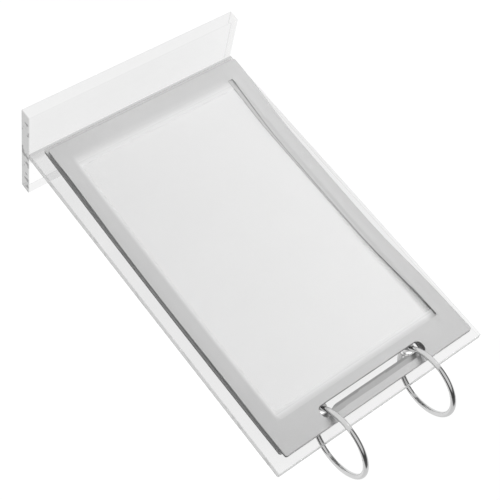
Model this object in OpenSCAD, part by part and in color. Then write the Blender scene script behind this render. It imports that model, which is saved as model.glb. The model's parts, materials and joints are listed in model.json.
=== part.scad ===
// Flip menu holder: a clear T-shaped stand with two hinged binder rings through its board,
// and two silver-framed pocket leaves hung on the rings, each with a card that slides out.
// The stand rests on z = 0, the leaves hang on its front face, which looks along -Y.

/* [Stand] */
// Width of the foot and of the upright board, which end flush
stand_w = 115; // [100:1:180]
// Height of the board above the foot
board_h = 183; // [140:1:260]
// Thickness of the board
board_t = 3; // [2:0.5:5]
// Rounding of the board's two free corners
board_r = 0.5; // [0.5:0.5:6]
// Reach of the foot in front of the board
foot_front = 26; // [15:1:50]
// Reach of the foot behind the board
foot_rear = 28; // [22:1:50]
// Thickness of the foot plate
foot_t = 6; // [4:0.5:12]
// Bevel polished onto every edge of the foot plate
foot_bevel = 0.4; // [0.2:0.1:1.5]

/* [Leaf] */
// Margin on each side of a leaf that hangs in the middle of the board
leaf_margin = 5; // [3:0.5:15]
// Gap between the foot and the rear leaf
foot_gap = 4.4; // [2:0.1:15]
// Rounding of the leaf's corners
leaf_r = 1; // [0.5:0.5:6]
// Silver border at each side of the window
border_side = 8.25; // [7:0.25:15]
// Silver border at the foot end of the window
border_foot = 9.2; // [7:0.1:20]
// Strip of border between the window and the ring slot
window_web = 4.4; // [3:0.1:10]
// Strip of border between the ring slot and the leaf's end
end_web = 3.4; // [2:0.1:5]
// Rounding of the window's corners
window_r = 1; // [0.5:0.5:4]
// Thickness of one frame sheet
frame_t = 0.4; // [0.3:0.05:0.6]
// Thickness of one window film
film_t = 0.15; // [0.1:0.05:0.3]
// Lap of the film behind the edge of the window
film_lap = 2.4; // [1.5:0.1:2.6]
// Width of the welded seam along the closed sides of the pocket
weld_w = 3; // [2:0.5:4]
// Thickness of the card
card_t = 0.3; // [0.2:0.05:0.5]
// Play of the card between the two films, on each face
card_play = 0.1; // [0.05:0.05:0.2]
// Play of the card at the welded seams
card_edge_play = 0.3; // [0.2:0.1:1]
// Distance that the card sits back from the open edge of the pocket
mouth_setback = 1; // [0.5:0.5:4]
// Gap between the board and the rear leaf
board_gap = 0.15; // [0.1:0.05:0.5]
// Gap between the two leaves
leaf_gap = 0.25; // [0.15:0.05:0.6]
// Distance that the front leaf has slid sideways on the rings
front_slide = 0.4; // [0.1:0.1:3]
// Lift of the rear leaf's foot end, which has curled away from the board
foot_curl = 3.6; // [1:0.2:6]
// Lift of the rear leaf's ring end
ring_curl = 0.6; // [0.2:0.1:1.5]
// Further lift of the front leaf's foot end
foot_curl_more = 0.8; // [0.5:0.1:3]
// Further lift of the front leaf's ring end
ring_curl_more = 0.4; // [0.2:0.1:1]

/* [Rings] */
// Inner diameter of a closed ring
ring_inner_d = 30; // [27:1:50]
// Diameter of the ring wire
wire_d = 2.5; // [2:0.1:3]
// Distance between the two rings
ring_pitch = 50; // [30:1:60]
// Distance from the middle of the ring hole to the end of the board
hole_edge = 13.5; // [12:0.5:18]
// Play of the wire in the hole of the board
hole_play = 2; // [1:0.1:4]
// Angle by which the rings lean back from upright
ring_lean = 21; // [10:1:28]
// Clearance of a leaf's slot around the ring's knuckle
slot_clear = 0.06; // [0.04:0.02:0.4]
// Further play of the leaf along the board, which lets the leaves lie stepped
slot_play = 0.4; // [0.2:0.1:2]
// Play between the last ring and the end of the slot
slot_end_play = 2.2; // [0.5:0.1:3]
// Rounding of the slot's corners, as a share of its width
slot_round = 0.42; // [0.1:0.02:0.46]

/* [Ring joint] */
// Place of the hinge round the ring, from its lowest point towards the back
hinge_turn = 36; // [34:1:60]
// Diameter that the knuckle has over the wire
knuckle_over = 0.3; // [0.2:0.1:0.8]
// Thickness of the gate's tongue between the two ears
tongue_t = 0.8; // [0.6:0.1:1]
// Running gap in the hinge and at the snap seam
joint_gap = 0.05; // [0.03:0.01:0.1]
// Diameter of the hinge rivet
rivet_d = 1; // [0.8:0.1:1.2]
// Diameter of the rivet heads
head_d = 1.8; // [1.6:0.1:2]
// Height of a rivet head
head_t = 0.25; // [0.15:0.05:0.35]
// Diameter of the snap tenon on the end of the gate
tenon_d = 1.3; // [1:0.1:1.4]
// Length of the snap tenon
tenon_l = 1.4; // [1:0.1:2]
// Play of the tenon in its socket
socket_play = 0.1; // [0.05:0.05:0.2]

/* [Hidden] */

// Colours
clear_sheet = [0.90, 0.92, 0.93, 0.45];
silver_sheet = [0.77, 0.77, 0.78];
window_film = [0.93, 0.94, 0.95, 0.35];
white_card = [0.93, 0.93, 0.93];
plated_wire = [0.62, 0.62, 0.64];

// Overshoot of a cutting solid
cut = 0.5;

// Stand: the foot is centred on the origin
foot_d = foot_front + board_t + foot_rear;
board_y = foot_front - foot_d / 2;
board_top = foot_t + board_h;

// Rings: each circle passes through the middle of its hole and leans back over the board's end
ring_r = (ring_inner_d + wire_d) / 2;
ring_y = board_y + board_t / 2 + ring_r * sin(ring_lean);
ring_z = board_top - hole_edge + ring_r * cos(ring_lean);
ring_places = [-ring_pitch / 2, ring_pitch / 2];
knuckle_d = wire_d + knuckle_over;
seam_turn = joint_gap / ring_r * 180 / PI;

// Height, below the ring axis, of a circle of radius r about that axis at depth y
function under_axis(r, y) = ring_z - sqrt(r * r - (y - ring_y) * (y - ring_y));

// Hole in the board: the leaning wire's own height there, plus its play
hole_high = under_axis(ring_r - wire_d / 2, board_y);
hole_low = under_axis(ring_r + wire_d / 2, board_y + board_t);
hole_d = hole_high - hole_low + hole_play;
hole_z = (hole_high + hole_low) / 2;

// Leaf layers, from its back face forwards
pocket_d = 2 * (film_t + card_play) + card_t;
leaf_t = 2 * frame_t + pocket_d;
rear_y = board_y - board_gap;
front_y = rear_y - leaf_t - leaf_gap;

// Outline of a leaf; the rear one has slid down to the wire
pass_r = knuckle_d / 2 + slot_clear;
rear_end = under_axis(ring_r - pass_r, rear_y - leaf_t - ring_curl) + end_web;
rear_z = foot_t + foot_gap;
leaf_h = rear_end - rear_z;
leaf_w = stand_w - 2 * leaf_margin;

// Lifts of each leaf's foot end and ring end
rear_lift = [foot_curl, ring_curl];
front_lift = [foot_curl + foot_curl_more, ring_curl + ring_curl_more];

// Curl of a leaf: an arc that is lowest at height curl_z of the leaf, and how far it lifts at height z
function curl_z(lift) = leaf_h * sqrt(lift[0]) / (sqrt(lift[0]) + sqrt(lift[1]));
function curl_r(lift) = (pow(curl_z(lift), 2) / lift[0] + lift[0]) / 2;
function curl_at(lift, z) = curl_r(lift) - sqrt(pow(curl_r(lift), 2) - pow(z - curl_z(lift), 2));

// Ring slot: just wide enough for the knuckle in the curled leaf, plus the play along the board
slot_end = leaf_h - end_web;
slot_reach = 3 * wire_d;
front_high = under_axis(ring_r - pass_r, front_y - leaf_t - curl_at(front_lift, slot_end));
front_low = under_axis(ring_r + pass_r, front_y - curl_at(front_lift, slot_end - slot_reach));
slot_w = front_high - front_low + slot_play;
slot_len = ring_pitch + 2 * (front_slide + slot_end_play) + wire_d;

// The front leaf is drawn up to the wire
front_z = front_low + slot_w + end_web - leaf_h;

// Window, film and card inside the leaf's outline
border_ring = end_web + slot_w + window_web;
window_w = leaf_w - 2 * border_side;
window_h = leaf_h - border_foot - border_ring;
seam_low = border_foot + window_h + film_lap + card_edge_play;
card_w = leaf_w - weld_w - card_edge_play - mouth_setback;
card_h = seam_low - weld_w - 2 * card_edge_play;

// Rectangle that is centred in x and starts at y = 0, with rounded corners
module round_rect(w, h, r) {
    translate([-w / 2, r]) square([w, h - 2 * r]);
    translate([-w / 2 + r, 0]) square([w - 2 * r, h]);
    for (x = [-w / 2 + r, w / 2 - r], y = [r, h - r])
        translate([x, y]) circle(r, $fn = 32);
}

// Upright sheet of thickness t in front of depth y, drawn in x and z
module sheet(y, t) {
    translate([0, y, 0]) rotate([90, 0, 0]) linear_extrude(t) children();
}

// Sheet of a leaf, which follows the leaf's arc
module leaf_sheet(y, t, lift) {
    intersection() {
        sheet(cut, leaf_t + lift[0] + lift[1] + 2 * cut) children();
        translate([0, -curl_r(lift), curl_z(lift)]) rotate([0, 90, 0])
        difference() {
            cylinder(r = curl_r(lift) + y, h = stand_w, center = true, $fn = 1440);
            cylinder(r = curl_r(lift) + y - t, h = stand_w + 2 * cut, center = true, $fn = 1440);
        }
    }
}

// Rectangle with its corners cut off at 45 degrees, centred on the origin
module bevelled_rect(w, h) {
    a = w / 2;
    b = h / 2;
    c = foot_bevel;
    polygon([
        [a, b - c], [a - c, b], [c - a, b], [-a, b - c],
        [-a, c - b], [c - a, -b], [a - c, -b], [a, c - b]
    ]);
}

// Foot: a plate with a polished bevel along all twelve edges
module foot_plate() {
    color(clear_sheet)
    translate([0, 0, foot_t / 2])
    intersection() {
        linear_extrude(foot_t, center = true) bevelled_rect(stand_w, foot_d);
        rotate([90, 0, 0]) linear_extrude(foot_d, center = true) bevelled_rect(stand_w, foot_t);
        rotate([90, 0, 90]) linear_extrude(stand_w, center = true) bevelled_rect(foot_d, foot_t);
    }
}

// Board: stands on the foot, with two holes for the rings near its free end
module display_board() {
    color(clear_sheet)
    difference() {
        translate([0, 0, foot_t])
        sheet(board_y + board_t, board_t)
        union() {
            translate([-stand_w / 2, 0]) square([stand_w, board_h - board_r]);
            translate([0, board_h / 2]) round_rect(stand_w, board_h / 2, board_r);
        }
        for (x = ring_places)
            translate([x, board_y + board_t + cut, hole_z])
            rotate([90, 0, 0]) cylinder(d = hole_d, h = board_t + 2 * cut, $fn = 48);
    }
}

// Turns a ring drawn round the z axis to stand at x, angle 0 pointing down and 90 to the back
module at_ring(x) {
    translate([x, ring_y, ring_z]) rotate([0, 90, 0]) children();
}

// Wire of a ring between two angles
module wire_arc(start, sweep) {
    rotate([0, 0, start])
    rotate_extrude(angle = sweep, $fn = 96)
    translate([ring_r, 0]) circle(d = wire_d, $fn = 32);
}

// Moves to the ring's wire at an angle, with y along the wire
module on_wire(turn) {
    rotate([0, 0, turn]) translate([ring_r, 0, 0]) children();
}

// Ring body: the half that stays in the board, with two ears at the hinge and a socket at the snap
module ring_body(x) {
    color(plated_wire)
    at_ring(x)
    difference() {
        union() {
            wire_arc(hinge_turn - 180 + seam_turn, 180 - seam_turn);
            on_wire(hinge_turn) cylinder(d = knuckle_d, h = wire_d, center = true, $fn = 48);
        }
        on_wire(hinge_turn)
            cylinder(d = knuckle_d + 2 * joint_gap, h = tongue_t + 2 * joint_gap, center = true, $fn = 48);
        on_wire(hinge_turn) cylinder(d = rivet_d, h = wire_d + 2 * cut, center = true, $fn = 32);
        on_wire(hinge_turn - 180)
            translate([0, -cut, 0]) rotate([-90, 0, 0])
            cylinder(d = tenon_d + 2 * socket_play, h = tenon_l + socket_play + cut, $fn = 32);
    }
}

// Ring gate: the half that swings open, with a tongue at the hinge and a tenon at the snap
module ring_gate(x) {
    color(plated_wire)
    at_ring(x)
    difference() {
        union() {
            wire_arc(hinge_turn, 180);
            on_wire(hinge_turn) cylinder(d = knuckle_d, h = tongue_t, center = true, $fn = 48);
            on_wire(hinge_turn + 180)
                translate([0, -cut, 0]) rotate([-90, 0, 0])
                cylinder(d = tenon_d, h = tenon_l + cut, $fn = 32);
        }
        on_wire(hinge_turn)
            for (side = [0, 1])
                mirror([0, 0, side]) translate([0, 0, tongue_t / 2])
                cylinder(d = knuckle_d + 2 * joint_gap, h = wire_d, $fn = 48);
        on_wire(hinge_turn)
            cylinder(d = rivet_d + 2 * joint_gap, h = wire_d + 2 * cut, center = true, $fn = 32);
    }
}

// Ring rivet: hinge pin with a flat head on each ear
module ring_rivet(x) {
    color(plated_wire)
    at_ring(x)
    on_wire(hinge_turn) {
        cylinder(d = rivet_d, h = wire_d + 2 * head_t, center = true, $fn = 32);
        for (side = [0, 1])
            mirror([0, 0, side]) translate([0, 0, wire_d / 2])
            cylinder(d = head_d, h = head_t, $fn = 32);
    }
}

// Moves to a leaf: its back face at y = 0, its middle at x = 0 and its foot end at z = 0
module at_rear_leaf() {
    translate([0, rear_y, rear_z]) children();
}

module at_front_leaf() {
    translate([-front_slide, front_y, front_z]) children();
}

module ring_slot() {
    translate([0, slot_end - slot_w]) round_rect(slot_len, slot_w, slot_round * slot_w);
}

module frame_outline() {
    difference() {
        round_rect(leaf_w, leaf_h, leaf_r);
        translate([0, border_foot]) round_rect(window_w, window_h, window_r);
        ring_slot();
    }
}

// Welded seam between the two frames: foot end, closed side and ring end, open at the mouth
module seam_outline() {
    difference() {
        intersection() {
            round_rect(leaf_w, leaf_h, leaf_r);
            union() {
                translate([-leaf_w / 2, 0]) square([leaf_w, weld_w]);
                translate([-leaf_w / 2, 0]) square([weld_w, leaf_h]);
                translate([-leaf_w / 2, seam_low]) square([leaf_w, leaf_h - seam_low]);
            }
        }
        ring_slot();
    }
}

module film_outline() {
    translate([-window_w / 2 - film_lap, border_foot - film_lap])
        square([window_w + 2 * film_lap, window_h + 2 * film_lap]);
}

module back_frame(lift) {
    color(silver_sheet) {
        leaf_sheet(0, frame_t, lift) frame_outline();
        leaf_sheet(-frame_t, pocket_d, lift) seam_outline();
    }
}

module back_film(lift) {
    color(window_film) leaf_sheet(-frame_t, film_t, lift) film_outline();
}

module insert_card(lift) {
    color(white_card)
    leaf_sheet(-frame_t - film_t - card_play, card_t, lift)
    translate([-leaf_w / 2 + weld_w + card_edge_play, weld_w + card_edge_play])
        square([card_w, card_h]);
}

module front_film(lift) {
    color(window_film) leaf_sheet(-frame_t - pocket_d + film_t, film_t, lift) film_outline();
}

module front_frame(lift) {
    color(silver_sheet) leaf_sheet(-frame_t - pocket_d, frame_t, lift) frame_outline();
}

foot_plate();
display_board();
ring_body(ring_places[0]);  // left_ring_body
ring_gate(ring_places[0]);  // left_ring_gate
ring_rivet(ring_places[0]);  // left_ring_rivet
ring_body(ring_places[1]);  // right_ring_body
ring_gate(ring_places[1]);  // right_ring_gate
ring_rivet(ring_places[1]);  // right_ring_rivet
at_rear_leaf() back_frame(rear_lift);  // rear_leaf_back_frame
at_rear_leaf() back_film(rear_lift);  // rear_leaf_back_film
at_rear_leaf() insert_card(rear_lift);  // rear_leaf_card
at_rear_leaf() front_film(rear_lift);  // rear_leaf_front_film
at_rear_leaf() front_frame(rear_lift);  // rear_leaf_front_frame
at_front_leaf() back_frame(front_lift);  // front_leaf_back_frame
at_front_leaf() back_film(front_lift);  // front_leaf_back_film
at_front_leaf() insert_card(front_lift);  // front_leaf_card
at_front_leaf() front_film(front_lift);  // front_leaf_front_film
at_front_leaf() front_frame(front_lift);  // front_leaf_front_frame
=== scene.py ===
"""Looks of a flip menu holder: clear stand, plated binder rings and two silver pocket leaves.

Everything is in metres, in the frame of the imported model. The rings, the cards and the back films
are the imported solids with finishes. The foot, the board, and both frames and the front film of each
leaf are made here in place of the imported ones.
"""
import json

import bmesh
import bpy
import numpy as np
from mathutils import Matrix, Vector


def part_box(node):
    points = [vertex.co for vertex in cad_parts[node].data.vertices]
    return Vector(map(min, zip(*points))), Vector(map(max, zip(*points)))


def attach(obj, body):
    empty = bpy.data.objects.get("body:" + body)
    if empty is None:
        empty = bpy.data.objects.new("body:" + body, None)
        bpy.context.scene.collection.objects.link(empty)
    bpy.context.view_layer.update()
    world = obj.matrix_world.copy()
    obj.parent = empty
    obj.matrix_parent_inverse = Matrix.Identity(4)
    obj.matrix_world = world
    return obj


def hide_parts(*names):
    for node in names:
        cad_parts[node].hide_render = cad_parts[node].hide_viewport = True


MM = 0.001

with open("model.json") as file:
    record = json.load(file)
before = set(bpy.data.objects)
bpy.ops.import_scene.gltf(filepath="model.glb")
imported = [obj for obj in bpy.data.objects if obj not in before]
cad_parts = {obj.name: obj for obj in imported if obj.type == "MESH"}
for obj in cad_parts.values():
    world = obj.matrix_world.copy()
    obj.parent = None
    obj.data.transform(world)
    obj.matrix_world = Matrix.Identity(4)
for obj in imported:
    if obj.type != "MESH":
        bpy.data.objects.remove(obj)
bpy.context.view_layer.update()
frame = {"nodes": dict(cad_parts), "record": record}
nodes = frame["nodes"]

# Sizes of the foot and of a leaf, repeated from the part's source
FOOT_BEVEL = 0.4 * MM
LEAF_CORNER = 1.0 * MM
BORDER_SIDE = 8.25 * MM
BORDER_FOOT = 9.2 * MM
WINDOW_WEB = 4.4 * MM
END_WEB = 3.4 * MM
WINDOW_CORNER = 1.0 * MM
SLOT_LENGTH = 57.7 * MM
SLOT_WIDTH = 6.12 * MM
SLOT_CORNER = 0.42 * SLOT_WIDTH
FRAME_SHEET = 0.4 * MM
FILM_SHEET = 0.15 * MM
LEAF_DEPTH = 1.6 * MM
REAR_LIFT = (3.6 * MM, 0.6 * MM)
FRONT_LIFT = (4.4 * MM, 1.0 * MM)

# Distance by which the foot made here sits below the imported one
FOOT_DROP = 0.15 * MM

# Slack of the leaves: depth of the waist in their closed side, and heights where it comes and goes
WAIST = 1.8 * MM
WAIST_COMES = (18.0 * MM, 62.0 * MM)
WAIST_GOES = (118.0 * MM, 166.0 * MM)

# Reach of the silver's fade, outside and inside the window, along its foot, open side and ring end
FADE_FOOT = (2.9 * MM, 5.6 * MM)
FADE_MOUTH = (2.0 * MM, 0.4 * MM)
FADE_RING = (0.8 * MM, 4.2 * MM)

# Silver and the white that it fades to: share of metal, greys of the print on the films, and the
# print's white with painted shade at the ring end
SILVER_METAL = 0.5
SILVER_PRINT = 0.66
WORN_WHITE = 0.83
PRINT_WHITE_SHADED_AT_RINGS = 0.80

# Opacity of the films where nothing is printed on them, in front of and behind the cards
FRONT_VEIL = 0.06
BACK_VEIL = 0.12

# Clear sheet: tints of its faces and edges behind the board and of its arrises, the painted shade
# on the walls of the ring holes, and the share of frost on the board's sawn ends
REAR_FACE = 0.90
REAR_EDGE = 0.85
ARRIS = 0.55
HOLE_SHADE = 0.12
FROST = 0.55

# Points and faces of a leaf's mesh that lie within this distance of an edge are on it
ON_EDGE = 0.05 * MM
# Points closer than this are one, and edges that turn by more than this angle stay sharp
MERGE = 0.002 * MM
SHARP_TURN = 0.7

# Camera, fitted to the corners of the stand in the photograph
CAMERA_AT = Vector((0.228992, -0.445296, 0.276060))
CAMERA_RIGHT = Vector((-0.780245, -0.156947, 0.605462))
CAMERA_DOWN = Vector((0.455707, 0.520404, 0.722157))
CAMERA_AHEAD = Vector((-0.428426, 0.839373, -0.334521))
CAMERA_LENS = 85.996
CAMERA_SENSOR = 36.0

# Lamps (name, place, size, power) and the point that they look at
LAMPS = (("key", (-0.6, -0.8, 0.12), (0.55, 0.22), 6.75),
         ("fill", (0.9, -0.6, 0.6), (1.0, 1.0), 1.1),
         ("back", (-0.35, 1.0, 0.5), (1.0, 1.0), 6.0))
LAMP_TARGET = Vector((0.0, 0.0, 0.1))

# Room in reflections: direction of its softbox, grey at both ends, and greys from 0 (away from the
# softbox) to 1 (towards it)
SOFTBOX = Vector((0.25, -0.85, 0.46))
ROOM_ENDS = 0.9
ROOM = ((0.46, 0.9), (0.53, 0.14), (0.82, 0.07), (0.90, 0.85))
FLOOR_HALF = 12.0


# Finishes

def grey(level):
    """Opaque neutral colour."""
    return (level, level, level, 1.0)


class Finish:
    """A Principled material whose sockets are set by name, with short calls for its nodes."""

    def __init__(self, name, **sockets):
        self.material = bpy.data.materials.new(name)
        self.material.use_nodes = True
        self.tree = self.material.node_tree
        self.shader = self.tree.nodes["Principled BSDF"]
        for socket, value in sockets.items():
            self.shader.inputs[socket.replace("_", " ")].default_value = value
        self.place = self.add("ShaderNodeTexCoord").outputs["Object"]

    def add(self, kind, **inputs):
        node = self.tree.nodes.new(kind)
        for socket, value in inputs.items():
            self.feed(node.inputs[socket.replace("_", " ")], value)
        return node

    def feed(self, socket, value):
        """Links a socket to another one, or sets it to a constant."""
        if isinstance(value, bpy.types.NodeSocket):
            self.tree.links.new(value, socket)
        else:
            socket.default_value = value

    def drive(self, socket, value):
        """Feeds a socket of the shader itself."""
        self.feed(self.shader.inputs[socket], value)

    def noise(self, scale, detail=2.0, stretch=(1.0, 1.0, 1.0)):
        mapping = self.add("ShaderNodeMapping", Vector=self.place, Scale=stretch)
        return self.add("ShaderNodeTexNoise", Vector=mapping.outputs["Vector"], Scale=scale,
                        Detail=detail).outputs["Fac"]

    def band(self, value, low, high, start=0.0, end=1.0, smooth=False):
        """Value that goes from start to end between low and high, and stays there beyond them."""
        node = self.add("ShaderNodeMapRange", Value=value, From_Min=low, From_Max=high,
                        To_Min=start, To_Max=end)
        if smooth:
            node.interpolation_type = "SMOOTHSTEP"
        return node.outputs["Result"]

    def blend(self, factor, first, second):
        """Colour that goes from the first to the second."""
        node = self.add("ShaderNodeMix")
        node.data_type = "RGBA"
        self.feed(node.inputs["Factor"], factor)
        self.feed(node.inputs["A"], first)
        self.feed(node.inputs["B"], second)
        return node.outputs["Result"]

    def math(self, operation, first, *others):
        """Chain of one operation over any number of values."""
        for second in others or (0.0,):
            node = self.add("ShaderNodeMath")
            node.operation = operation
            self.feed(node.inputs[0], first)
            self.feed(node.inputs[1], second)
            first = node.outputs["Value"]
        return first

    def split(self):
        """Object coordinates, one by one."""
        return self.add("ShaderNodeSeparateXYZ", Vector=self.place).outputs

    def axes(self, centre=(0.0, 0.0, 0.0)):
        """Distances from a centre along x, y and z, without their signs."""
        shift = self.add("ShaderNodeVectorMath")
        shift.operation = "SUBTRACT"
        self.feed(shift.inputs[0], self.place)
        shift.inputs[1].default_value = centre
        size = self.add("ShaderNodeVectorMath")
        size.operation = "ABSOLUTE"
        self.feed(size.inputs[0], shift.outputs["Vector"])
        return self.add("ShaderNodeSeparateXYZ", Vector=size.outputs["Vector"]).outputs

    def attribute(self, name):
        node = self.add("ShaderNodeAttribute")
        node.attribute_name = name
        return node.outputs["Fac"]

    def bump(self, height, depth):
        node = self.add("ShaderNodeBump", Height=height, Distance=depth)
        self.tree.links.new(node.outputs["Normal"], self.shader.inputs["Normal"])


def rows_of(items, name, kind=float):
    """Array of a property of a mesh's points or faces, with three values for each."""
    values = np.empty(len(items) * 3, dtype=kind)
    items.foreach_get(name, values)
    return values.reshape(-1, 3)


def ring_holes():
    """Middle (x, z) and radius of both holes of the board, from its points inside its outline."""
    x, _, z = rows_of(nodes["display_board"].data.vertices, "co").T
    inner = (np.abs(x) < x.max() - MM) & (z < z.max() - MM) & (z > z.min() + MM)
    for side in (inner & (x > 0), inner & (x < 0)):
        hole_x, hole_z = x[side], z[side]
        middle = (hole_x.min() + hole_x.max()) / 2, (hole_z.min() + hole_z.max()) / 2
        yield *middle, np.ptp(hole_x) / 2


def clear_acrylic(node, near_side, far_side, near_end, far_end, other_end, bonded=False):
    """Polished clear sheet: see-through faces, greyer sawn edges with marks, and lined arrises.

    The faces clear up from the tint near_side to far_side, towards low x and behind the board.
    near_end, far_end and other_end are the tints of the edge faces at high x, at low x and along
    the third axis; an arris is where two axes are at their ends. A bonded sheet has no edge at its
    lower end, the walls of its ring holes are painted dark with the shade and reflection of the
    rings in them, and its ends at high x and on top are frosted.
    """
    low, high = (np.array(v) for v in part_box(node))
    if bonded:
        low[2] -= high[2] - low[2]
    centre, half = (low + high) / 2, (high - low) / 2
    finish = Finish(node + "_acrylic", IOR=1.12, Transmission_Weight=1.0)
    rim = 0.5 * MM
    near = [finish.band(axis, h - rim, h - 0.1 * rim)
            for axis, h in zip(finish.axes(tuple(centre)), half)]
    place = finish.split()
    across = place["X"]
    at_high_x = finish.band(across, 0.0, MM)
    arris = finish.math("MAXIMUM", finish.math("MINIMUM", near[0], near[1]),
                        finish.math("MINIMUM", near[1], near[2]),
                        finish.math("MINIMUM", near[0], near[2]))
    cloud = finish.blend(finish.noise(45.0, 3.0), grey(near_side - 0.03), grey(near_side + 0.03))
    across_face = finish.blend(finish.band(across, -half[0], 0.1 * half[0], 1.0, 0.0),
                               cloud, grey(far_side))
    behind = finish.band(place["Y"], 3.0 * MM, 6.0 * MM)
    face = finish.blend(behind, across_face, grey(REAR_FACE))
    edge = finish.blend(behind, grey(other_end), grey(REAR_EDGE))
    edged = finish.blend(near[2] if bonded else near[1], face, edge)
    ends = finish.blend(finish.band(across, -half[0], half[0]), grey(far_end), grey(near_end))
    sawn = finish.blend(near[0], edged, ends)
    chips = finish.math("MULTIPLY", finish.band(finish.noise(320.0, 1.0), 0.575, 0.63), at_high_x)
    chip_tint = (0.75 if bonded else 0.3) * near_end
    tint = finish.blend(finish.math("MULTIPLY", near[0], chips), sawn, grey(chip_tint))
    if bonded:
        for hole_x, hole_z, radius in ring_holes():
            away = finish.axes((hole_x, 0.0, hole_z))
            spread = finish.math("SQRT", finish.math(
                "ADD", finish.math("MULTIPLY", away["X"], away["X"]),
                finish.math("MULTIPLY", away["Z"], away["Z"])))
            # Painted shade and reflection: each ring hole's wall is painted dark for the ring's
            # shadow and dark reflection in it
            wall = finish.band(spread, radius + 0.1 * MM, radius + 0.25 * MM, 1.0, 0.0)
            tint = finish.blend(wall, tint, grey(HOLE_SHADE))
    finish.drive("Base Color", finish.blend(finish.math("MULTIPLY", arris, 0.5), tint, grey(ARRIS)))
    matte = finish.band(finish.math("MINIMUM", near[0], at_high_x), 0.0, 1.0, 0.0, 0.15)
    if bonded:
        matte = finish.math("MAXIMUM", matte, finish.band(near[2], 0.0, 1.0, 0.0, 0.35))
        frosted = finish.math("MAXIMUM", finish.math("MULTIPLY", near[0], at_high_x, FROST),
                              finish.math("MULTIPLY", near[2], FROST))
        finish.drive("Transmission Weight", finish.math("SUBTRACT", 1.0, frosted))
    finish.drive("Roughness", matte)
    finish.bump(finish.noise(25.0, 1.0), 0.00003)
    return finish.material


def plated_wire():
    """Bright plating on drawn wire: mirror metal with hairlines and slightly uneven polish."""
    finish = Finish("plated_wire", Metallic=1.0)
    patches = finish.noise(140.0, 2.0)
    finish.drive("Base Color", finish.blend(patches, grey(0.56), grey(0.68)))
    finish.drive("Roughness", finish.band(finish.noise(420.0, 3.0), 0.3, 0.7, 0.05, 0.14))
    finish.bump(finish.noise(900.0, 2.0, (1.0, 0.2, 0.2)), 0.000004)
    return finish.material


def silver_sheet():
    """Satin silver vinyl: metallic pigment in fine grains, with painted shade towards the rings and
    open side.

    The attributes of a frame turn it white beside the window, give it painted shade round the slot
    and along the rim of its edges, and make it mid-grey on its cut walls.
    """
    finish = Finish("silver_frame", Specular_IOR_Level=0.35)
    grain = finish.noise(2600.0, 2.0)
    cloud = finish.noise(35.0, 3.0)
    place = finish.split()
    # Painted shade: the silver is darker towards the ring end and towards the open side, for how the
    # light falls across the leaf
    tone = finish.blend(finish.band(place["Z"], 20.0 * MM, 185.0 * MM),
                        finish.blend(cloud, grey(0.66), grey(0.70)),
                        finish.blend(cloud, grey(0.58), grey(0.62)))
    shaded_to_open_side = finish.blend(finish.band(place["X"], 15.0 * MM, 50.0 * MM, 0.0, 0.25),
                           tone, grey(0.48))
    specks = finish.blend(finish.band(grain, 0.3, 0.7, 0.0, 0.12), shaded_to_open_side, grey(0.78))
    fade = finish.attribute("fade")
    faded = finish.blend(fade, specks, grey(WORN_WHITE))
    # Painted shade round the slot, for the shadow of the leaf in front
    slot_shaded = finish.blend(finish.attribute("rub"), faded, grey(0.33))
    # Painted shade: a dark line of gap shadow along the rim of the edges
    rim = finish.band(finish.attribute("rim"), 0.0, 1.0, 0.0, 0.55)
    edge_shaded = finish.blend(rim, slot_shaded, grey(0.2))
    finish.drive("Base Color", finish.blend(finish.attribute("cut"), edge_shaded, grey(0.5)))
    finish.drive("Metallic", finish.band(fade, 0.0, 1.0, SILVER_METAL, 0.0))
    finish.drive("Roughness", finish.band(grain, 0.3, 0.7, 0.42, 0.52))
    finish.bump(grain, 0.00001)
    return finish.material


def white_card():
    """Blank card: matte white with the faint mottle of paper fibre."""
    finish = Finish("white_card", Roughness=0.75, Specular_IOR_Level=0.25)
    fibre = finish.noise(1500.0, 4.0, (1.0, 1.0, 0.4))
    tone = finish.blend(finish.noise(60.0, 3.0), grey(0.82), grey(0.85))
    fibrous = finish.blend(finish.band(fibre, 0.35, 0.7, 0.0, 0.2), tone, grey(0.79))
    finish.drive("Base Color", fibrous)
    finish.bump(fibre, 0.00001)
    return finish.material


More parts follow.
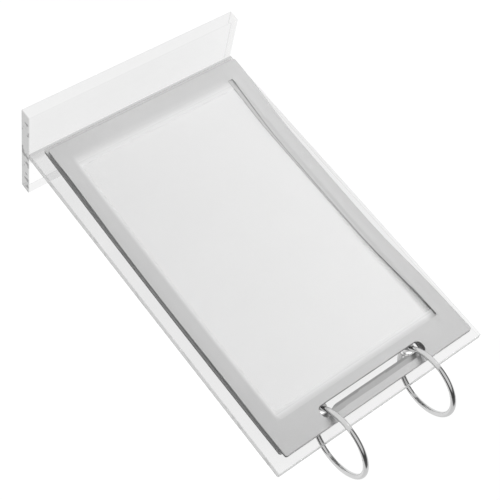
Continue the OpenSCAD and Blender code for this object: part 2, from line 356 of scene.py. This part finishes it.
def window_film(name, window=None):
    """Clear film. With a window, its silver print fades out inwards from three of the edges.

    The print is opaque up to where it has faded to the white of the card, and ends there; its white
    has painted shade towards the ring end. Along the closed side it is a narrow wedge at the foot,
    with a painted shadow line along its fold and a painted soft shadow that grows towards the ring
    end.
    """
    finish = Finish(name, Roughness=0.12, IOR=1.45, Specular_IOR_Level=0.35)
    finish.bump(finish.noise(30.0, 2.0), 0.00003)
    if window is None:
        finish.shader.inputs["Base Color"].default_value = (0.93, 0.94, 0.95, 1.0)
        finish.shader.inputs["Alpha"].default_value = BACK_VEIL
        return finish.material
    x0, x1, z0, z1 = window
    place = finish.split()
    across, up = place["X"], place["Z"]
    foot = finish.band(up, z0 - FADE_FOOT[0], z0 + FADE_FOOT[1], 1.0, 0.0, smooth=True)
    ring = finish.band(up, z1 - FADE_RING[1], z1 + FADE_RING[0], 0.0, 1.0, smooth=True)
    mouth = finish.band(across, x1 - FADE_MOUTH[1], x1 + FADE_MOUTH[0], 0.0, 1.0, smooth=True)
    drawn = finish.math("MULTIPLY", finish.band(up, *WAIST_COMES, 0.0, WAIST, smooth=True),
                        finish.band(up, *WAIST_GOES, 1.0, 0.0, smooth=True))
    width = finish.math("ADD", drawn, finish.band(up, z0, z0 + 40.0 * MM, 1.1 * MM, 0.0),
                        finish.band(up, z0 + 20.0 * MM, z1 - 30.0 * MM, 0.9 * MM, -0.3 * MM))
    inward = finish.math("SUBTRACT", across, x0, width)
    wedge = finish.band(inward, -0.05 * MM, 0.05 * MM, 1.0, 0.0)
    reach = finish.band(up, z0 + 70.0 * MM, z1, 2.2 * MM, 5.4 * MM)
    depth = finish.band(up, z0 + 80.0 * MM, z1, 0.13, 0.58)
    shadow = finish.band(inward, 0.0, reach, depth, 0.0, smooth=True)
    # Painted shadow: a dark line beside the wedge, where the film's folded edge shades it
    fold_shadow = finish.math("MULTIPLY", finish.band(inward, 0.0, 0.12 * MM),
                       finish.band(inward, 0.3 * MM, 0.55 * MM, 1.0, 0.0))
    silver = finish.math("MAXIMUM", foot, ring, mouth, wedge)
    # Painted shade: the print's white darkens towards the ring end, where the card beside it gets
    # less light
    white = finish.blend(finish.band(up, z0, z1), grey(WORN_WHITE), grey(PRINT_WHITE_SHADED_AT_RINGS))
    tone = finish.blend(silver, white, grey(SILVER_PRINT))
    printed = finish.band(silver, 0.02, 0.0202, FRONT_VEIL, 1.0)
    unprinted = finish.math("MULTIPLY", finish.band(shadow, 0.0, 0.05),
                            finish.math("SUBTRACT", 1.0, printed))
    shaded = finish.blend(finish.math("MAXIMUM", shadow, unprinted), tone, grey(0.28))
    finish.drive("Base Color", finish.blend(fold_shadow, shaded, grey(0.45)))
    fold_shadow_alpha = finish.math("MULTIPLY", fold_shadow, 0.9)
    finish.drive("Alpha", finish.math("MAXIMUM", printed, shadow, fold_shadow_alpha))
    finish.drive("Metallic", finish.band(silver, 0.0, 1.0, 0.0, SILVER_METAL))
    finish.drive("Roughness", finish.band(silver, 0.0, 0.6, 0.12, 0.47))
    return finish.material


# Surfaces of a leaf

def ease(value, start, end):
    """Smooth step from 0 at start to 1 at end."""
    t = np.clip((value - start) / (end - start), 0.0, 1.0)
    return t * t * (3.0 - 2.0 * t)


def waist(z):
    """Distance by which the closed side of both leaves is drawn in, between their ends."""
    return WAIST * ease(z, *WAIST_COMES) * (1.0 - ease(z, *WAIST_GOES))


def hump(value, middle, spread):
    """Bell curve of height 1."""
    return np.exp(-((value - middle) / spread) ** 2)


def outside(x, z, box, corner):
    """Distance outside a rounded rectangle: overhang past its inset core, less the corner."""
    x0, x1, z0, z1 = box
    u = np.abs(x - (x0 + x1) / 2) - (x1 - x0) / 2 + corner
    v = np.abs(z - (z0 + z1) / 2) - (z1 - z0) / 2 + corner
    past = np.hypot(np.maximum(u, 0), np.maximum(v, 0))
    return past + np.minimum(np.maximum(u, v), 0) - corner


class Leaf:
    """Outline of one leaf, read from its packed back frame, and the arc that it has curled to."""

    def __init__(self, name, lift):
        low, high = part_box(name + "_back_frame")
        self.name = name
        self.x0, self.x1, self.z0, self.z1 = low[0], high[0], low[2], high[2]
        self.outline = (self.x0, self.x1, self.z0, self.z1)
        self.back = high[1]
        self.height = self.z1 - self.z0
        self.middle = (self.x0 + self.x1) / 2
        slot_low = self.z1 - END_WEB - SLOT_WIDTH
        self.window = (self.x0 + BORDER_SIDE, self.x1 - BORDER_SIDE,
                       self.z0 + BORDER_FOOT, slot_low - WINDOW_WEB)
        self.slot = (self.middle - SLOT_LENGTH / 2, self.middle + SLOT_LENGTH / 2,
                     slot_low, self.z1 - END_WEB)
        foot, ring = lift
        reach = self.height * foot ** 0.5 / (foot ** 0.5 + ring ** 0.5)
        self.lowest = self.z0 + reach
        self.radius = (reach ** 2 / foot + foot) / 2

    def face(self, depth, z):
        """y of the layer at a depth in front of the leaf's back: an arc about an axis along x."""
        return self.back - self.radius + np.sqrt(
            (self.radius - depth) ** 2 - (z - self.lowest) ** 2)

    def drawn_in(self, x, z):
        """Shift of the closed side by the waist, which dies out in the first part of the window."""
        edge = self.window[0]
        return waist(z) * (1.0 - ease(x, edge + MM, edge + 15.0 * MM))

    def off_ends(self, z):
        """Share of the gape of the open side: 0 at the leaf's foot end and ring end, 1 between."""
        up = z - self.z0
        return ease(up, 3.0 * MM, 16.0 * MM) * (
            1.0 - ease(up, self.height - 32.0 * MM, self.height - 14.0 * MM))


def rounded_rectangle(box, corners, along, turn):
    """Closed run of points round a rectangle: quarter circles at its corners, even steps between.

    The run starts after the low-x, low-z corner and goes towards high x; corners gives each radius.
    """
    x0, x1, z0, z1 = box
    quarter = np.linspace(0.0, np.pi / 2, turn)
    centres = [(x1 - corners[1], z0 + corners[1]), (x1 - corners[2], z1 - corners[2]),
               (x0 + corners[3], z1 - corners[3]), (x0 + corners[0], z0 + corners[0])]
    radii = [corners[1], corners[2], corners[3], corners[0]]
    arcs = [np.stack([c[0] + r * np.cos(quarter + a), c[1] + r * np.sin(quarter + a)], axis=1)
            for c, r, a in zip(centres, radii, np.arange(4) * np.pi / 2 - np.pi / 2)]
    runs = []
    for before, after in zip([arcs[3], arcs[0], arcs[1], arcs[2]], arcs):
        step = np.linspace(0.0, 1.0, along + 2)[1:-1, None]
        runs += [before[-1] + (after[0] - before[-1]) * step, after]
    return np.concatenate(runs)


def patch_between(outer, inner, across, rim):
    """Grid between two closed runs: a rim of fixed width at both, and even steps in between."""
    gap = inner - outer
    share = (rim / np.linalg.norm(gap, axis=1))[:, None]
    even = np.linspace(0.0, 1.0, across - 2)
    ends = np.zeros((len(gap), 1)), np.ones((len(gap), 1))
    step = np.concatenate([ends[0], share + (1 - 2 * share) * even[None, :], ends[1]], axis=1)
    return outer[:, None, :] + gap[:, None, :] * step[:, :, None]


def frame_shell(leaf, depth, lift, thin, bow):
    """Points and quads of a frame sheet as a closed shell: patches round the window and the slot.

    Both patches are grids between a rounded outline and a hole, and meet on a line between the
    holes. The closed side is drawn in by the waist. The back is on the leaf's arc at a depth,
    raised by lift(x, z); the front is one sheet ahead of it, less the share thin(x, z). Walls close
    the outline and both holes. Between the rings the slot's end edge bows inwards by bow.
    """
    along, turn, across, rim = 110, 8, 16, 0.25 * MM
    seam = (leaf.window[3] + leaf.slot[2]) / 2
    parts = [((leaf.x0, leaf.x1, leaf.z0, seam), (LEAF_CORNER, LEAF_CORNER, 0, 0),
              leaf.window, WINDOW_CORNER),
             ((leaf.x0, leaf.x1, seam, leaf.z1), (0, 0, LEAF_CORNER, LEAF_CORNER),
              leaf.slot, SLOT_CORNER)]
    flat = np.concatenate([
        patch_between(rounded_rectangle(box, corners, along, turn),
                      rounded_rectangle(hole, (r,) * 4, along, turn), across, rim).reshape(-1, 2)
        for box, corners, hole, r in parts])
    count = len(flat)
    around = count // (2 * across)
    i, j = np.meshgrid(np.arange(around), np.arange(across - 1), indexing="ij")
    here, ahead = i * across + j, (i + 1) % around * across + j
    patch = np.stack([here, ahead, ahead + 1, here + 1], axis=-1).reshape(-1, 4)
    front = np.concatenate([patch, patch + around * across])
    a = np.arange(around) * across
    b = np.roll(a, -1)
    loops = np.concatenate([np.stack([a, b], 1), np.stack([b, a], 1) + across - 1])
    loops = np.concatenate([loops, loops + around * across])
    open_edge = ~np.all(np.abs(flat[loops][:, :, 1] - seam) < 0.001 * MM, axis=1)
    walls = np.concatenate([loops[open_edge], loops[open_edge][:, ::-1] + count], axis=1)
    x, z = flat[:, 0], flat[:, 1]
    between = 1.0 - ease(np.abs(x - leaf.middle), 19.5 * MM, 23.4 * MM)
    z = z - bow * between * (1.0 - ease(np.abs(z - leaf.slot[3]), 0.0, 3.0 * MM))
    x = x + leaf.drawn_in(x, z)
    back_y = leaf.face(depth, z) - lift(x, z)
    front_y = back_y - FRAME_SHEET * (1.0 - thin(x, z))
    points = np.concatenate([np.stack([x, front_y, z], 1), np.stack([x, back_y, z], 1)])
    return points, np.concatenate([front, front[:, ::-1] + count, walls])


def film_shell(leaf, box, columns, rows):
    """Points and quads of a film as a closed shell: a grid on the leaf's arc, its back and edges."""
    x, z = np.meshgrid(np.linspace(box[0], box[1], columns), np.linspace(box[2], box[3], rows),
                       indexing="ij")
    x, z = x.ravel(), z.ravel()
    depth = LEAF_DEPTH - FRAME_SHEET
    points = np.concatenate([np.stack([x, leaf.face(d, z), z], 1)
                             for d in (depth, depth - FILM_SHEET)])
    i, j = np.meshgrid(np.arange(columns - 1), np.arange(rows - 1), indexing="ij")
    first = i * rows + j
    front = np.stack([first, first + rows, first + rows + 1, first + 1], axis=-1).reshape(-1, 4)
    number = np.arange(columns * rows).reshape(columns, rows)
    rim = np.concatenate([number[:-1, 0], number[-1, :-1], number[:0:-1, -1], number[0, :0:-1]])
    count = columns * rows
    walls = np.stack([rim, np.roll(rim, -1), np.roll(rim, -1) + count, rim + count], axis=1)
    return points, np.concatenate([front, front[:, ::-1] + count, walls])


def make_piece(name, points, faces, material):
    """Mesh object at the origin: doubled points merged, faces outwards, sharp edges kept sharp."""
    mesh = bpy.data.meshes.new(name)
    mesh.from_pydata(points.tolist(), [], faces.tolist())
    work = bmesh.new()
    work.from_mesh(mesh)
    bmesh.ops.remove_doubles(work, verts=work.verts, dist=MERGE)
    bmesh.ops.recalc_face_normals(work, faces=work.faces)
    work.to_mesh(mesh)
    work.free()
    mesh.polygons.foreach_set("use_smooth", np.ones(len(mesh.polygons), dtype=bool))
    mesh.set_sharp_from_angle(angle=SHARP_TURN)
    mesh.materials.append(material)
    piece = bpy.data.objects.new(name, mesh)
    bpy.context.scene.collection.objects.link(piece)
    return piece


def mark_edges(piece, leaf, slot_shade_level):
    """Attributes of a frame: painted shade along its edges (rim) and round the slot, fade by the
    window and cuts.

    Round the window only the closed side has a rim and a cut wall: the other sides are soft.
    """
    mesh = piece.data
    x0, x1, z0, z1 = leaf.window
    x, _, z = rows_of(mesh.vertices, "co").T
    x = x - leaf.drawn_in(x, z)
    window = outside(x, z, leaf.window, WINDOW_CORNER)
    slot = outside(x, z, leaf.slot, SLOT_CORNER)
    inside = -outside(x, z, leaf.outline, LEAF_CORNER)
    soft_sides = (window < ON_EDGE) & (x > x0 + 1.0 * MM)
    # Painted shade: points along the edges that get the dark line of gap shadow
    rim = (np.minimum(np.minimum(window, slot), inside) < ON_EDGE) & ~soft_sides
    # Painted shade round the slot, for the shadow of the leaf in front
    rub = slot_shade_level * (1.0 - ease(slot, 2.6 * MM, 4.0 * MM))
    fade = ease(z, z0 - FADE_FOOT[0], z0 + FADE_FOOT[1]) * (
        1.0 - ease(x, x1 - FADE_MOUTH[1], x1 + FADE_MOUTH[0])) * (
        1.0 - ease(z, z1 - FADE_RING[1], z1 + FADE_RING[0])) * ease(x, x0, x0 + 8.0 * MM)
    wall_x, _, wall_z = rows_of(mesh.polygons, "center").T
    soft_walls = (outside(wall_x, wall_z, leaf.window, WINDOW_CORNER) < ON_EDGE) & (
        wall_x > x0 + 3.0 * MM)
    cut = (np.abs(rows_of(mesh.polygons, "normal")[:, 1]) < 0.5) & ~soft_walls
    for name, domain, values in (("rim", "POINT", rim), ("rub", "POINT", rub),
                                 ("fade", "POINT", fade), ("cut", "FACE", cut)):
        attribute = mesh.attributes.new(name, "FLOAT", domain)
        attribute.data.foreach_set("value", values.astype(np.float32))


def dress_leaf(leaf, silver, lift, slot_shade_level, bow):
    """Both frames and the front film of a leaf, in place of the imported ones."""
    def feathered(x, z):
        """Share by which the sheet thins out towards the window, except along the closed side."""
        near = 1.0 - ease(outside(x, z, leaf.window, WINDOW_CORNER), 0.0, 7.5 * MM)
        return 0.95 * near * ease(x, leaf.window[0], leaf.window[0] + 3.0 * MM)

    def welded(x, z):
        """Extra thickness, as a negative share, of the seam round three sides of the pocket."""
        inside = -outside(x - waist(z) * (x < 0), z, leaf.outline, LEAF_CORNER)
        seam = (inside < 1.2 * MM) & (x < leaf.x1 - 1.5 * MM)
        return -(LEAF_DEPTH - 2.0 * FRAME_SHEET) / FRAME_SHEET * seam

    def level(x, z):
        """No lift."""
        return np.zeros_like(x)

    front_depth = LEAF_DEPTH - FRAME_SHEET
    face = make_piece(leaf.name + "_face",
                      *frame_shell(leaf, front_depth, lift, feathered, bow), silver)
    mark_edges(face, leaf, slot_shade_level)
    rear_face = make_piece(leaf.name + "_back", *frame_shell(leaf, 0.0, level, welded, bow), silver)
    mark_edges(rear_face, leaf, slot_shade_level)
    low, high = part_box(leaf.name + "_front_film")
    film_box = (low[0], high[0], low[2], high[2])
    film = make_piece(leaf.name + "_window", *film_shell(leaf, film_box, 40, 80),
                      window_film(leaf.name + "_film", leaf.window))
    for piece, node, slot in ((face, "_front_frame", "silver_frame"),
                              (rear_face, "_back_frame", "silver_frame"),
                              (film, "_front_film", "window_film")):
        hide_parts(leaf.name + node)
        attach(piece, leaf.name)
    for clear in (film, nodes[leaf.name + "_back_film"]):
        clear.visible_shadow = clear.visible_diffuse = False


def cast_foot(material):
    """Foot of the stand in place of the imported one: a box with soft arrises.

    It sits a hair lower than the plate it replaces, so that it shares no face with the board.
    """
    low, high = (np.array(v) - (0.0, 0.0, FOOT_DROP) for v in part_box("foot_plate"))
    corner = np.array([[i & 1, i >> 1 & 1, i >> 2] for i in range(8)])
    faces = np.array([[0, 2, 3, 1], [4, 5, 7, 6], [0, 1, 5, 4],
                      [2, 6, 7, 3], [0, 4, 6, 2], [1, 3, 7, 5]])
    foot = make_piece("foot_slab", low + (high - low) * corner, faces, material)
    arris = foot.modifiers.new("arris", "BEVEL")
    arris.width = FOOT_BEVEL
    arris.segments = 2
    arris.harden_normals = True
    foot.visible_shadow = False
    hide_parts("foot_plate")
    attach(foot, "stand")


def smooth_board(material):
    """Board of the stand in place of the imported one: the same faces, merged for even light."""
    packed = nodes["display_board"].data
    points, faces = rows_of(packed.vertices, "co"), rows_of(packed.polygons, "vertices", int)
    board = make_piece("board_sheet", points, faces, material)
    board.visible_shadow = False
    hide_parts("display_board")
    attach(board, "stand")


rear, front = Leaf("rear_leaf", REAR_LIFT), Leaf("front_leaf", FRONT_LIFT)


def front_lift(x, z):
    """Gape of the front leaf's open side, in two long waves, and the lip along its closed side."""
    up, ends = z - front.z0, front.off_ends(z)
    low_wave, high_wave = hump(up, 24.0 * MM, 26.0 * MM), hump(up, 128.0 * MM, 26.0 * MM)
    gape = (0.1 + 1.1 * low_wave + 0.7 * high_wave) * MM * ends
    pressed = 0.2 * MM * ends * ease(x, front.x1 - 3.0 * MM, front.x1)
    mouth = gape * ease(x, front.window[1] - 0.5 * MM, front.x1) - pressed
    along = ease(z, front.window[2] - 2.0 * MM, front.window[2] + 3.0 * MM) * (
        1.0 - ease(z, front.window[3] - 3.0 * MM, front.window[3] + 2.0 * MM))
    near = 1.0 - ease(outside(x, z, front.window, WINDOW_CORNER), 0.0, 4.0 * MM)
    return mouth + 0.35 * MM * along * near * (x < front.window[0] + 0.01 * MM)


def rear_lift(x, z):
    """Slight gape of the rear leaf's open side."""
    return 0.15 * MM * rear.off_ends(z) * ease(x, rear.window[1] - 0.5 * MM, rear.x1)


silver = silver_sheet()
finishes = {"plated_wire": plated_wire(), "silver_frame": silver, "white_card": white_card(),
            "window_film": window_film("window_film")}
for part in frame["record"]["subparts"]:
    if part["material_slot"] in finishes:
        nodes[part["node"]].material_slots[0].material = finishes[part["material_slot"]]
foot_acrylic = clear_acrylic("foot_plate", 0.65, 0.70, 0.28, 0.72, 0.70)
nodes["foot_plate"].material_slots[0].material = foot_acrylic
board_acrylic = clear_acrylic("display_board", 0.77, 0.81, 0.86, 0.88, 0.82, bonded=True)
nodes["display_board"].material_slots[0].material = board_acrylic
cast_foot(foot_acrylic)
smooth_board(board_acrylic)
# Only the rear leaf gets painted shade round its slot; the front one gets none
dress_leaf(rear, silver, rear_lift, 0.45, 1.0 * MM)
dress_leaf(front, silver, front_lift, 0.0, 0.0)


# Studio

class Studio:
    """Short calls for the shader nodes of the floor and the world."""

    def __init__(self, tree):
        self.tree = tree
        tree.nodes.clear()
        self.path = self.add("ShaderNodeLightPath").outputs

    def add(self, kind, *links, **values):
        node = self.tree.nodes.new(kind)
        for socket, source in zip(node.inputs, links):
            self.tree.links.new(source, socket)
        for socket, value in values.items():
            node.inputs[socket.replace("_", " ")].default_value = value
        return node

    def larger(self, first, second):
        node = self.add("ShaderNodeMath", first, second)
        node.operation = "MAXIMUM"
        return node.outputs[0]


def studio_floor():
    """Wide floor: white to the eye, in reflections and through the acrylic, with a faint shadow."""
    mesh = bpy.data.meshes.new("floor")
    corners = [(-FLOOR_HALF, -FLOOR_HALF, 0), (FLOOR_HALF, -FLOOR_HALF, 0),
               (FLOOR_HALF, FLOOR_HALF, 0), (-FLOOR_HALF, FLOOR_HALF, 0)]
    mesh.from_pydata(corners, [], [(0, 1, 2, 3)])
    floor = bpy.data.objects.new("floor", mesh)
    bpy.context.scene.collection.objects.link(floor)
    material = bpy.data.materials.new("floor")
    material.use_nodes = True
    kit = Studio(material.node_tree)
    mirrored = kit.larger(kit.path["Is Glossy Ray"], kit.path["Is Transmission Ray"])
    seen = kit.larger(kit.path["Is Camera Ray"], mirrored)
    matte = kit.add("ShaderNodeBsdfDiffuse", Color=grey(0.8))
    shade = kit.add("ShaderNodeBsdfDiffuse", Color=grey(0.12))
    glow = kit.add("ShaderNodeEmission", Strength=0.97)
    white = kit.add("ShaderNodeAddShader", shade.outputs[0], glow.outputs[0])
    choose = kit.add("ShaderNodeMixShader", seen, matte.outputs[0], white.outputs[0])
    kit.add("ShaderNodeOutputMaterial", choose.outputs[0])
    mesh.materials.append(material)


def studio_world():
    """Even grey light on surfaces, white straight on, and a softbox in a dark room to mirrors."""
    world = bpy.data.worlds.new("studio")
    bpy.context.scene.world = world
    world.use_nodes = True
    kit = Studio(world.node_tree)
    place = kit.add("ShaderNodeTexCoord")
    towards = kit.add("ShaderNodeVectorMath", place.outputs["Generated"])
    towards.operation = "DOT_PRODUCT"
    towards.inputs[1].default_value = SOFTBOX
    share = kit.add("ShaderNodeMapRange", towards.outputs["Value"], From_Min=-1.0, From_Max=1.0)
    room = kit.add("ShaderNodeValToRGB", share.outputs[0])
    for end in room.color_ramp.elements:
        end.color = grey(ROOM_ENDS)
    for spot, level in ROOM:
        room.color_ramp.elements.new(spot).color = grey(level)
    soft = kit.add("ShaderNodeBackground", Strength=0.42)
    mirror = kit.add("ShaderNodeBackground", room.outputs["Color"])
    white = kit.add("ShaderNodeBackground", Strength=1.0)
    see = kit.add("ShaderNodeMixShader", kit.path["Is Glossy Ray"], soft.outputs[0],
                  mirror.outputs[0])
    straight = kit.larger(kit.path["Is Camera Ray"], kit.path["Is Transmission Ray"])
    both = kit.add("ShaderNodeMixShader", straight, see.outputs[0], white.outputs[0])
    kit.add("ShaderNodeOutputWorld", both.outputs[0])


def soft_light(name, place, size, power):
    """Soft light panel that looks at the board, and that no reflection shows."""
    light = bpy.data.lights.new(name, "AREA")
    light.shape = "RECTANGLE"
    light.size, light.size_y = size
    light.energy = power
    lamp = bpy.data.objects.new(name, light)
    bpy.context.scene.collection.objects.link(lamp)
    lamp.visible_glossy = lamp.visible_transmission = False
    place = Vector(place)
    turn = (LAMP_TARGET - place).to_track_quat("-Z", "Y").to_matrix().to_4x4()
    lamp.matrix_world = Matrix.Translation(place) @ turn


def photo_camera():
    """Camera of the photograph, from its fitted place and axes."""
    data = bpy.data.cameras.new("camera")
    data.sensor_width = CAMERA_SENSOR
    data.lens = CAMERA_LENS
    data.clip_start = 0.01
    camera = bpy.data.objects.new("camera", data)
    bpy.context.scene.collection.objects.link(camera)
    turn = Matrix((CAMERA_RIGHT, -CAMERA_DOWN, -CAMERA_AHEAD)).transposed().to_4x4()
    camera.matrix_world = Matrix.Translation(CAMERA_AT) @ turn
    bpy.context.scene.camera = camera


bpy.context.scene.view_settings.view_transform = "Standard"
studio_floor()
studio_world()
for lamp_values in LAMPS:
    soft_light(*lamp_values)
photo_camera()
